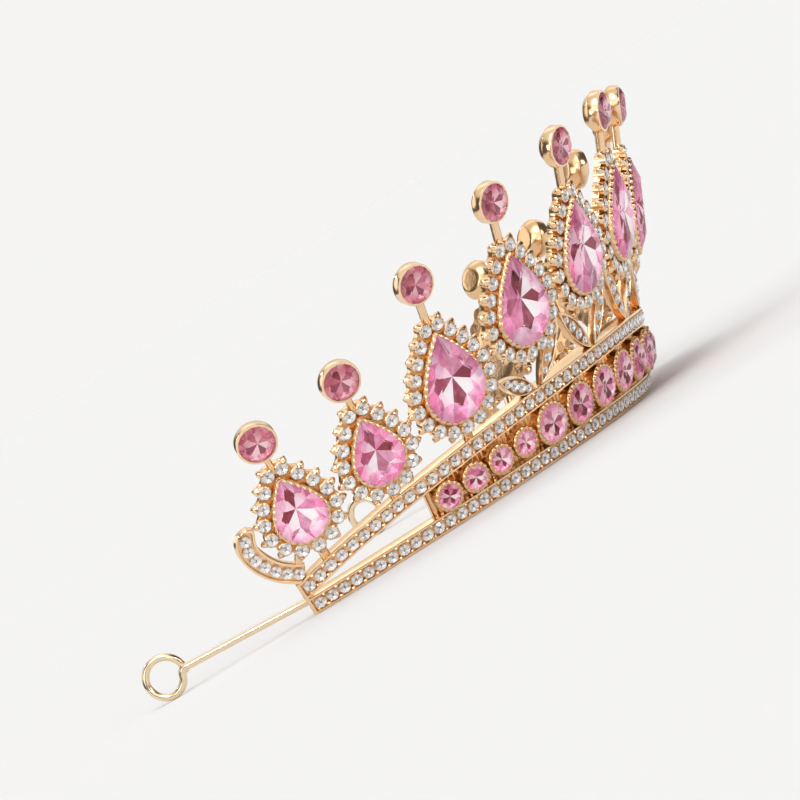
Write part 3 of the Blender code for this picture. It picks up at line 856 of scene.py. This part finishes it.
def halo_cup_skin():
    """Round cup with a thin rim: rows of radius and out."""
    outer, rim = HALO_CUP_OUTER, HALO_CUP_RIM
    profile = [(outer * 0.85, HALO_BACK), (outer, rim - 0.15 * MM), (outer - 0.14 * MM, rim)]
    profile += [(HALO_STONE / 2 - 0.05 * MM, HALO_PLATE_FRONT)]
    return lathe(profile, HALO_CUP_SIDES, [0.5, 0.1, 0.0, 0.6])


def halo_bead_skin():
    """Pointed bead outside a halo cup: rings along the seat's up, widest low down and drawn to a point."""
    rows = np.array([(0.90, 0.52), (1.35, 0.80), (1.80, 0.68), (2.18, 0.36)]) * MM
    across, thick = round_places(1.0, BEAD_SIDES)
    along = np.repeat(rows[:, :1], BEAD_SIDES, 1)
    lift = HALO_STONE_GIRDLE - BEAD_DROP - BEAD_SLOPE * (rows[:, :1] - rows[0, 0])
    rings = np.stack([rows[:, 1:] * across, along, lift + rows[:, 1:] * thick], -1)
    skin = tube_skin(rings, 0.15)
    tip = skin.points.copy()
    tip[-1] += (0, HALO_SPIKE - rows[-1, 0], 0)
    return skin._replace(points=tip)


def collet(base, width, length):
    """Pear-shaped wall with claws over the stone: a cosine leans it in and lifts it. Rows in millimetres."""
    count = int(run_along(pear_curve(width, length, FIT_GAP))[-1] / CLAW_PITCH) * WAVE_STEPS
    rows = [
        (0.40, 0.0, -0.4, 0.0, 0.7),
        (0.40, 0.0, 1.0, 0.0, 0.5),
        (0.36, 0.06, 1.75, 0.0, 0.3),
        (0.28, 0.10, 2.10, 0.20, 0.4),
        (0.12, 0.05, 2.22, 0.40, 0.35),
        (-0.08, -0.30, 2.32, 0.34, 0.35),
        (-0.10, -0.14, 2.26, 0.14, 0.6),
        (0.0, 0.0, 1.95, 0.0, 0.9),
        (0.0, 0.0, -0.4, 0.0, 1.0),
    ]
    places = pear_places(width, length, FIT_GAP, count)
    return wall_round(base, places, beaded(count), np.array(rows) * (MM, MM, MM, MM, 1))


def rounded_bar(base, wide, low, high, front=STEM_FRONT):
    """Bar up a seat with a rounded section: rings of a squared circle."""
    x, z = (np.sign(row) * np.abs(row) ** BAR_SQUARED for row in round_places(1.0, BAR_SIDES))
    levels = np.linspace(low, high, BAR_LEVELS)[:, None]
    out = (STEM_BACK + front) / 2 + z * (front - STEM_BACK) / 2
    return tube_skin(placed(base, x * wide / 2, levels, out), 0.2)


def top_cup_skin():
    """Deep plain bezel: a rounded back, an upright wall and a thin smooth rim over the stone's edge."""
    inner = TOP_STONE / 2 + STONE_SNUG
    outer = inner + TOP_CUP_WALL
    back, rim = TOP_CUP_BACK, TOP_CUP_RIM
    profile = [
        (outer * 0.40, back),
        (outer * 0.58, back + 0.04 * MM),
        (outer * 0.66, back + 0.2 * MM),
        (outer * 0.95, -0.5 * MM),
        (outer, -0.15 * MM),
        (outer, rim - 0.1 * MM),
        (outer - 0.06 * MM, rim + 0.12 * MM),
        (inner + 0.06 * MM, rim + 0.24 * MM),
        (inner - 0.10 * MM, rim + 0.26 * MM),
        (inner - 0.14 * MM, rim + 0.14 * MM),
        (inner + 0.02 * MM, rim - 0.4 * MM),
        (inner * 0.7, back + 0.5 * MM),
    ]
    return lathe(profile, TOP_CUP_SIDES, [0.6, 0.6, 0.6, 0.6, 0.5, 0.1, 0, 0, 0, 0.4, 1, 1])


def make_motif(number, arc, rise, width, length, gold):
    """One motif: halo, collet, stem and top cup, with a foot where it stands on the upper rail."""
    base = seat(arc, rise)
    top = TOP_RISES[width]
    top_outer = TOP_STONE / 2 + FIT_GAP + CUP_WALL
    seats = halo_seats(base, width, length)
    skins = halo_plate(base, width, length)
    skins += [copies(skin, seats) for skin in (halo_cup_skin(), halo_bead_skin())]
    skins.append(collet(base, width, length))
    low, high = length / 2 + HALO_OFFSET / 2, top - top_outer + STEM_WIDE / 2
    skins.append(rounded_bar(base, STEM_WIDE, low, high, STEM_FRONT + STEM_PROUD))
    skins.append(moved(top_cup_skin(), seats_on(base, 0.0, top)[0]))
    if abs(arc) > MOTIFS[OUTER_MOTIFS][0]:
        low, high = spread(arc) - rise - RAIL_RIM, -length / 2 - FOOT_REACH
        skins.append(rounded_bar(base, FOOT_WIDE, low, high))
    make_gold_piece(f"motif_{number:02d}", skins, gold, crease=0.75)


def leaf_places():
    """Seats and lengths of the leaves, from the rail up to the gaps between the middle motifs' halos."""
    rows = motif_places()
    made = []
    first = OUTER_MOTIFS
    for before, here, after in zip(rows[first - 1:], rows[first:-first], rows[first + 1:]):
        arc, rise, _, length = here
        for near in (before, after):
            middle = (arc + near[0]) / 2
            foot = (arc + (middle - arc) * LEAF_FOOT, spread(arc) - RAIL_RIM)
            tip = (arc + (middle - arc) * LEAF_TIP, min(rise, near[1]) - length / 2 + LEAF_TUCK)
            start, end = wall(*foot, 0.0), wall(*tip, 0.0)
            along = unit(end - start)
            out = seat((foot[0] + tip[0]) / 2, tip[1])[3]
            out = unit(out - along * (out @ along))
            base = np.stack([(start + end) / 2, along, np.cross(out, along), out])
            made.append((base, np.linalg.norm(end - start)))
    return made


def leaf_skin(base, length):
    """Navette tray with a round rim: across is half the width times one minus the square of along."""
    turn = 2 * math.pi * np.arange(LEAF_SIDES) / LEAF_SIDES
    x = length / 2 * np.cos(turn)
    y = LEAF_WIDE / 2 * np.sin(turn) * np.abs(np.sin(turn))
    inside = 1 - 2 * LEAF_RIM / LEAF_WIDE
    back, front = LEAF_BACK, LEAF_FRONT
    rows = [(0.9, back, 0.5), (1.0, back + 0.2 * MM, 0.5), (1.0, front - 0.2 * MM, 0.2)]
    rows += [(0.96, front, 0.0), (0.86, front + 0.03 * MM, 0.0), (0.79, front - 0.15 * MM, 0.2)]
    rows += [(inside, LEAF_FLOOR + 0.1 * MM, 0.9), (inside * 0.9, LEAF_FLOOR, 1.1)]
    return disc_over(base, x, y, rows)


def make_leaves(gold):
    """All leaves as one piece."""
    make_gold_piece("leaves", [leaf_skin(*place) for place in leaf_places()], gold, crease=0.7)


def scroll_seat(side):
    """Seat of an outermost motif."""
    arc, rise, _, _ = MOTIFS[0]
    return seat(side * arc, rise)


def scroll_radius(angle):
    """Constant at first, then drawing in to the halo after SCROLL_BEND."""
    share = np.maximum(0.0, (angle - SCROLL_BEND) / (SCROLL_END - SCROLL_BEND))
    return SCROLL_RADIUS + (SCROLL_END_RADIUS - SCROLL_RADIUS) * share * share


def scroll_places(side, angle, away=0.0):
    """Places in the plane of an outermost motif: polar about the middle of its pear's round end."""
    radius = scroll_radius(angle) + away
    return -side * radius * np.cos(angle), SCROLL_MIDDLE + radius * np.sin(angle)


def make_scroll(side, gold):
    """Stone channel that curls round the bottom of an outermost motif, and the tab that ties it to the halo.

    The channel runs evenly, then its tip is half a circle: angle follows its sine and width its cosine.
    """
    base = scroll_seat(side)
    half, bed = SCROLL_WIDE / 2, SCROLL_WIDE / 2 - SCROLL_RIM
    turn = np.linspace(0, math.pi / 2 - SCROLL_TIP_CUT, SCROLL_TIP_STEPS)[:, None]
    reach = half / SCROLL_END_RADIUS
    run = np.linspace(SCROLL_START, SCROLL_END - reach, SCROLL_RUN_STEPS)[:-1, None]
    angles = np.concatenate([run, SCROLL_END - reach + reach * np.sin(turn)])
    wide = np.concatenate([0 * run + half, half * np.cos(turn)])
    across, out, recess = channel_profile(-wide, wide, SCROLL_RIM, SCROLL_BACK, SCROLL_FLOOR, SCROLL_FRONT)
    across = np.clip(across, -wide, wide)
    room = np.concatenate([0 * run + bed, np.sqrt(np.maximum(0.0, bed ** 2 - (half * np.sin(turn)) ** 2))])
    across[:, INNER_LOW] = -room
    across[:, INNER_HIGH] = room
    channel = tube_skin(placed(base, *scroll_places(side, angles, across), out), recess)
    outward = (-side * math.cos(SCROLL_TAB_ANGLE), math.sin(SCROLL_TAB_ANGLE))
    tab_seat = seats_on(base, 0.0, SCROLL_MIDDLE, *outward)[0]
    low, high = SMALL_PEAR[0] / 2 + FOOT_REACH, SCROLL_RADIUS - half + RAIL_RIM
    tab = rounded_bar(tab_seat, STEM_WIDE, low, high)
    make_gold_piece(f"scroll_{SIDE_NAMES[side]}", [channel, tab], gold, crease=0.7)


def hairpin_path(side):
    """Straight from behind the end plate, a short bend, then a ring of over one turn, wound to one side.

    The bend is a curve with its one handle at the ring's entry.
    """
    _, _, along = plan_frame(np.array(HALF_ARC))
    loop = RING_OUTER / 2 - WIRE_RADIUS
    behind = RAIL_BACK - WIRE_RADIUS * WIRE_BEHIND
    start = wall(WIRE_START_ARC, WIRE_START_RISE, behind)
    leave = wall(HALF_ARC, WIRE_START_RISE, behind)
    c, s = math.cos(WIRE_TURN), math.sin(WIRE_TURN)
    level = np.array([along[0] * c + along[1] * s, along[1] * c - along[0] * s, 0.0])
    centre = leave + level * (WIRE_REACH + loop)
    centre[2] = RING_OUTER / 2
    heading = unit(centre - leave)
    upward = unit(np.cross([1.0, 0.0, 0.0], heading))
    entry = centre - heading * loop
    turn = np.linspace(RING_JOIN, 2 * math.pi * RING_TURNS, RING_STEPS)[:, None]
    aside = np.array([RING_STEP_ASIDE, 0, 0]) * turn / (2 * math.pi)
    ring = centre - heading * loop * np.cos(turn) - upward * loop * np.sin(turn) + aside
    near = entry - heading * WIRE_RADIUS * BEND_LONG
    share = np.linspace(0, 1, BEND_STEPS)[1:-1, None]
    bend = near * (1 - share) ** 2 + entry * 2 * share * (1 - share) + ring[0] * share ** 2
    reach = leave + (near - leave) * np.linspace(REACH_FIRST, 1, REACH_STEPS)[:, None]
    return np.concatenate([start[None], reach, bend, ring]) * (side, 1, 1)


def make_hairpin(side, gold):
    """Round wire along its path: rings square to it, held upright by the direction across the crown."""
    path = hairpin_path(side)
    ahead = unit(np.gradient(path, axis=0))
    across = unit(np.array([1.0, 0, 0]) - ahead * ahead[:, :1])
    third = np.cross(ahead, across)
    x, y = round_places(WIRE_RADIUS, WIRE_SIDES)
    taper = np.ones(len(path) + len(TIP_STEPS))
    taper[-len(TIP_SHARES):] = TIP_SHARES
    path = np.concatenate([path, path[-1] + ahead[-1] * np.array(TIP_STEPS)[:, None]])
    across, third = (np.concatenate([row, row[-1:], row[-1:]])[:, None] for row in (across, third))
    rings = path[:, None] + taper[:, None, None] * (x[:, None] * across + y[:, None] * third)
    make_gold_piece(f"hairpin_{SIDE_NAMES[side]}", [tube_skin(rings)], gold, crease=0.9)


def cut_stone(x, y, table_share, culet, girdle_low, girdle_high, table, seed):
    """Brilliant cut on an outline of an even number of places, about the origin.

    The crown has a table, then for every second place a star, a kite and two halves. The back has two halves
    for each, and a kite down to the culet that is parted at KITE_REACH: its inner part is dark or white. The
    tones paint light into the facets: on the foil of the back, white is a painted highlight and dark is
    painted shade, and on the crown the tint deepens towards the girdle as painted shade.
    """
    count = len(x) // 2
    narrow = math.cos(math.pi / count)
    star_out = girdle_high + (table - girdle_high) * (1 - STAR_REACH * narrow) / (1 - table_share)
    back_out = culet + (girdle_low - culet) * BACK_REACH * narrow
    both = np.stack([x, y, 0 * x], -1)
    even, odd = both[::2], both[1::2]
    waist = even * KITE_REACH + (0, 0, culet + (girdle_low - culet) * KITE_REACH)
    scatter = np.random.default_rng(seed)
    middle = even.mean(0) * table_share
    aside = scatter.uniform(-CULET_ASIDE, CULET_ASIDE, 2) * np.hypot(x, y).min()
    rings = [
        middle[None] + (0, 0, table),
        even * table_share + (0, 0, table),
        odd * STAR_REACH + (0, 0, star_out),
        both + (0, 0, girdle_high),
        both + (0, 0, girdle_low),
        odd * BACK_REACH + (0, 0, back_out),
        waist,
        np.array([[*aside, culet]]),
    ]
    hub, rim, star, high, low, back, inner, point, _ = np.cumsum([0] + [len(ring) for ring in rings])
    i, j = np.arange(count), np.arange(2 * count)
    after, before, j_after = (i + 1) % count, (i - 1) % count, (j + 1) % (2 * count)
    faces = [
        corners(hub, rim + i, rim + after),
        corners(rim + i, star + i, rim + after),
        corners(rim + i, star + before, high + 2 * i, star + i),
        corners(star + i, high + 2 * i, high + 2 * i + 1),
        corners(star + i, high + 2 * i + 1, high + 2 * after),
        corners(high + j, low + j, low + j_after, high + j_after),
        corners(back + i, low + 2 * i + 1, low + 2 * i),
        corners(back + i, low + 2 * after, low + 2 * i + 1),
        corners(inner + i, back + i, low + 2 * i),
        corners(inner + i, low + 2 * i, back + before),
        corners(point, back + i, inner + i, back + before),
    ]
    # Tones: painted highlight where low and painted shade where high on the back's foil, and on the crown a
    # tint that deepens from the table to the girdle as painted shade.
    tones = [scatter.uniform(0, 1, len(rows)) for rows in faces]
    for kind, (deep, vary) in enumerate(FACET_TONES):
        tones[kind] = deep + vary * (tones[kind] - 0.5)
    swing = KITE_SWING * np.where(i % 2 == 0, 1, -1)
    tones[-1] = KITE_TONE + swing + scatter.uniform(-KITE_SCATTER, KITE_SCATTER, count)
    tones[-1][scatter.choice(count, PLAIN_KITES, replace=False)] = PLAIN_KITE_TONE
    looks = [np.full(len(rows), int(kind >= FIRST_BACK_FACET)) for kind, rows in enumerate(faces)]
    points, faces, tones, looks = (np.concatenate(rows) for rows in (rings, faces, tones, looks))
    return facing_out(Skin(points, faces, np.zeros(len(points)), tones, looks))


def pear_stone(width, length, seed):
    """Pear-shaped cut stone whose girdle stands at its collet's rim."""
    x, y, _, _ = pear_places(width, length, STONE_SNUG, CUT_PLACES)
    girdle = (COLLET_RIM, COLLET_RIM + PEAR_GIRDLE_TALL * width)
    return cut_stone(x, y, PEAR_TABLE, PEAR_CULET, *girdle, COLLET_RIM + PEAR_CROWN_TALL * width, seed)


def round_stone(size, rim, seed):
    """Round cut stone whose girdle stands at a cup's rim, with its sizes as shares of its width."""
    x, y = round_places(size / 2 + STONE_SNUG, CUT_PLACES)
    culet, girdle, table = (rim + share * size for share in (-0.15, 0.04, 0.18))
    return cut_stone(x, y, ROUND_TABLE, culet, rim, girdle, table, seed)


def make_cut_stones(kind, finishes, stones):
    """A piece for each cut stone of a kind, from its skin and its seat."""
    for number, (skin, base) in enumerate(stones, 1):
        nodes = [f"{kind}_stone_{number:02d}"]
        make_piece(f"cut_{kind}_{number:02d}", [moved(skin, base)], finishes, nodes)


def stones_and_seats():
    """The pears, the top stones and the band stones, each with its seat."""
    pears, tops, bands = [], [], []
    for number, (arc, rise, width, length) in enumerate(motif_places(), 1):
        base = seat(arc, rise)
        pears.append((pear_stone(width, length, number), base))
        top = round_stone(TOP_STONE, TOP_CUP_RIM, TOP_SEED + number)
        tops.append((top, seats_on(base, 0.0, TOP_RISES[width])[0]))
    for number, (base, size) in enumerate(band_places(), 1):
        bands.append((round_stone(size, BAND_CUP_RIM, BAND_SEED + number), base))
    return pears, tops, bands


def small_stone(size, girdle):
    """Small clear stone: eight crown facets round a table, eight back facets down to a small culet.

    Levels are a share of the radius and a height in widths. Faces are the back, the girdle, the crown, the
    culet and the table, eight of each. The tones on the foil of the back and the culet paint white
    highlights, and a dark culet as painted shade.
    """
    # Tones: on the foil, low is a painted highlight and high is painted shade, as on the dark culet.
    flanks = [0.0, 0.5, 0.1, 0.35, 0.0, 0.65, 0.15, 0.45]
    culet = [1.0, 0.9, 0.4, 1.0, 1.0, 0.7, 0.2, 1.0]
    table = [0.2] * len(flanks)
    x, y = round_places(size / 2, len(flanks))
    levels = [(0.28, -0.12), (1.0, 0.0), (1.0, 0.05), (0.56, 0.20)]
    ring = np.stack([x, y, 0 * x], -1)
    rings = np.stack([ring * share + (0, 0, girdle + up * size) for share, up in levels])
    looks = np.repeat([1, 0, 0, 1, 0], len(flanks))
    return tube_skin(rings)._replace(tones=np.array(flanks * 3 + culet + table), looks=looks)


def make_clear_stones(glass, foil):
    """All small clear stones, one piece for each kind of place that they are set in."""
    arcs = rail_stone_arcs()
    rails = np.concatenate([seat(arcs, middle) for middle in rail_middles(arcs)])
    rail_stone = small_stone(RAIL_STONE, RAIL_FRONT - STONE_SUNK)
    halo = np.concatenate([halo_seats(seat(arc, rise), *size) for arc, rise, *size in motif_places()])
    halo_stone = small_stone(HALO_STONE, HALO_STONE_GIRDLE)
    leaf_stones = []
    for number, (base, length) in enumerate(leaf_places()):
        for share, size in LEAF_STONES:
            stone = small_stone(size, LEAF_FRONT - STONE_SUNK)
            leaf_stones.append(copies(stone, spun(seats_on(base, share * length / 2, 0.0), number)))
    last = SCROLL_END - SCROLL_WIDE / 2 / SCROLL_END_RADIUS
    angles = np.linspace(SCROLL_FIRST_STONE, last, SCROLL_STONES)
    scrolls = [seats_on(scroll_seat(side), *scroll_places(side, angles)) for side in SIDE_NAMES]
    scroll_stone = small_stone(SCROLL_STONE, SCROLL_FRONT - SCROLL_STONE_SUNK)
    for name, skins in (
        ("rail_stones", [copies(rail_stone, spun(rails, RAIL_SEED))]),
        ("halo_stones", [copies(halo_stone, spun(halo, HALO_SEED))]),
        ("leaf_stones", leaf_stones),
        ("scroll_stones", [copies(scroll_stone, spun(np.concatenate(scrolls), SCROLL_SEED))]),
    ):
        make_piece(name, skins, [glass, foil], ["gold_frame"])


def make_crown():
    """Every piece, in its finish."""
    # The hollow colour of each gold is painted shade in its recesses.
    gold = gold_finish(
        "gold_plate", rim=colour(0.95, 0.70, 0.45), painted_hollow_shade=colour(0.72, 0.39, 0.15), polish=0.14, lumps=0.24)
    wire_gold = gold_finish(
        "wire_gold", rim=colour(0.86, 0.69, 0.47), painted_hollow_shade=colour(0.76, 0.53, 0.30), polish=0.16, lumps=0.03)
    # The foils' ramps run from white painted highlights through the stone's colour to dark painted shade,
    # and the foils glow a little as painted light. The glass deepens towards the girdle as painted shade.
    clear = glass_finish("clear_glass", colour(1.0, 1.0, 1.0), colour(0.97, 0.98, 0.98))
    silver = foil_finish("silver_foil", painted_glow=0.20, stops=[
        (0.0, colour(1.0, 0.99, 0.98)), (0.6, colour(0.62, 0.59, 0.57)), (1.0, colour(0.12, 0.10, 0.09))])
    pink = glass_finish("pink_glass", colour(1.0, 0.98, 0.99), colour(1.0, 0.44, 0.68))
    pink_foil = foil_finish("pink_foil", painted_glow=0.19, stops=[
        (0.15, colour(1.0, 0.98, 0.99)), (0.45, colour(1.0, 0.50, 0.72)), (0.88, colour(0.24, 0.03, 0.05))])
    rose = glass_finish("rose_glass", colour(1.0, 0.86, 0.88), colour(0.96, 0.58, 0.66))
    rose_foil = foil_finish("rose_foil", painted_glow=0.08, stops=[
        (0.05, colour(1.0, 0.80, 0.84)), (0.50, colour(0.80, 0.36, 0.44)), (0.95, colour(0.32, 0.07, 0.12))])
    make_rails(gold)
    make_gallery(gold)
    make_band_cups(gold)
    for number, motif in enumerate(motif_places(), 1):
        make_motif(number, *motif, gold)
    make_leaves(gold)
    for side in SIDE_NAMES:
        make_scroll(side, gold)
        make_hairpin(side, wire_gold)
    pears, tops, bands = stones_and_seats()
    make_cut_stones("pear", [pink, pink_foil], pears)
    make_cut_stones("top", [rose, rose_foil], tops)
    make_cut_stones("band", [rose, pink_foil], bands)
    make_clear_stones(clear, silver)


def make_floor():
    """Plain pale floor that the crown stands on."""
    made, tool = new_finish("pale_floor")
    pale = noise(tool, FLOOR_CLOUD_SCALE).mixed(colour(0.797, 0.798, 0.797), colour(0.813, 0.814, 0.813))
    feed(made, {"Roughness": 0.9, "Specular IOR Level": 0.0, "Base Color": pale})
    mesh = bpy.data.meshes.new("floor")
    square = [(-1, -1), (1, -1), (1, 1), (-1, 1)]
    mesh.from_pydata([(x * FLOOR_HALF, y * FLOOR_HALF, 0) for x, y in square], [], [(0, 1, 2, 3)])
    mesh.materials.append(made)
    new_object("floor", mesh)


def direction(azimuth, height):
    """Direction away from the crown, in degrees: azimuth 0 is the front, 90 the wearer's left."""
    a, e = math.radians(azimuth), math.radians(height)
    return Vector((math.sin(a) * math.cos(e), -math.cos(a) * math.cos(e), math.sin(e)))


def make_lamp(name, azimuth, height, strength, wide):
    """Soft lamp like a sun, wide being its seen size in degrees."""
    light = bpy.data.lights.new(name, "SUN")
    light.energy = strength
    light.angle = math.radians(wide)
    turned = direction(azimuth, height).to_track_quat("Z", "Y")
    new_object(name, light).matrix_world = turned.to_matrix().to_4x4()


def soft_box(tool, toward, azimuth, height, wide, edge):
    """Share of a round soft box in each direction: 1 in its half width, then falling to 0 over its edge."""
    sockets = {0: toward, 1: direction(azimuth, height)}
    near = tool.node("ShaderNodeVectorMath", {"operation": "DOT_PRODUCT"}, sockets, output=1)
    rim, core = math.cos(math.radians(wide + edge)), math.cos(math.radians(wide))
    return tool.node("ShaderNodeMapRange", {"interpolation_type": "SMOOTHSTEP"}, {0: near, 1: rim, 2: core})


def make_light():
    """Plain soft studio: a dim room with round soft boxes, a pale backdrop, and lamps for the shadow."""
    world = bpy.data.worlds.new("studio")
    bpy.context.scene.world = world
    world.use_nodes = True
    tree = world.node_tree
    tree.nodes.clear()
    tool = Wire(tree)
    toward = tool.node("ShaderNodeTexCoord", output=0)
    light = ROOM_LIGHT
    for azimuth, height, wide, edge, strength in SOFT_BOXES:
        light = soft_box(tool, toward, azimuth, height, wide, edge) * strength + light
    warmth = light.mixed(colour(0.56, 0.44, 0.37), colour(1.0, 1.0, 1.0))
    room = tool.node("ShaderNodeVectorMath", {"operation": "SCALE"}, {0: warmth, 3: light})
    seen = tool.node("ShaderNodeLightPath").mixed(room, colour(*BACKDROP))
    backdrop = tool.node("ShaderNodeBackground", None, {"Color": seen, "Strength": 1.0})
    tool.node("ShaderNodeOutputWorld", None, {"Surface": backdrop})
    for lamp in LAMPS:
        make_lamp(*lamp)


def make_camera():
    """Camera at the photograph's angle, turned about its own axis by the crown's tilt in the photograph."""
    back = direction(CAMERA_AZIMUTH, CAMERA_HEIGHT)
    level = direction(CAMERA_AZIMUTH + 90, 0)
    roll = math.radians(CAMERA_ROLL)
    right = level * math.cos(roll) + back.cross(level) * math.sin(roll)
    up = back.cross(right)
    lens = bpy.data.cameras.new("camera")
    lens.sensor_width = 36
    lens.lens = lens.sensor_width * CAMERA_AWAY / PICTURE_WIDE
    camera = new_object("camera", lens)
    turned = Matrix((right, up, back)).transposed().to_4x4()
    camera.matrix_world = Matrix.Translation(CAMERA_AIM + back * CAMERA_AWAY) @ turned
    bpy.context.scene.camera = camera


def write_sizes():
    """Brings the scene up to date."""
    bpy.context.view_layer.update()


make_crown()
make_floor()
make_light()
make_camera()
bpy.context.scene.view_settings.view_transform = "Standard"
write_sizes()
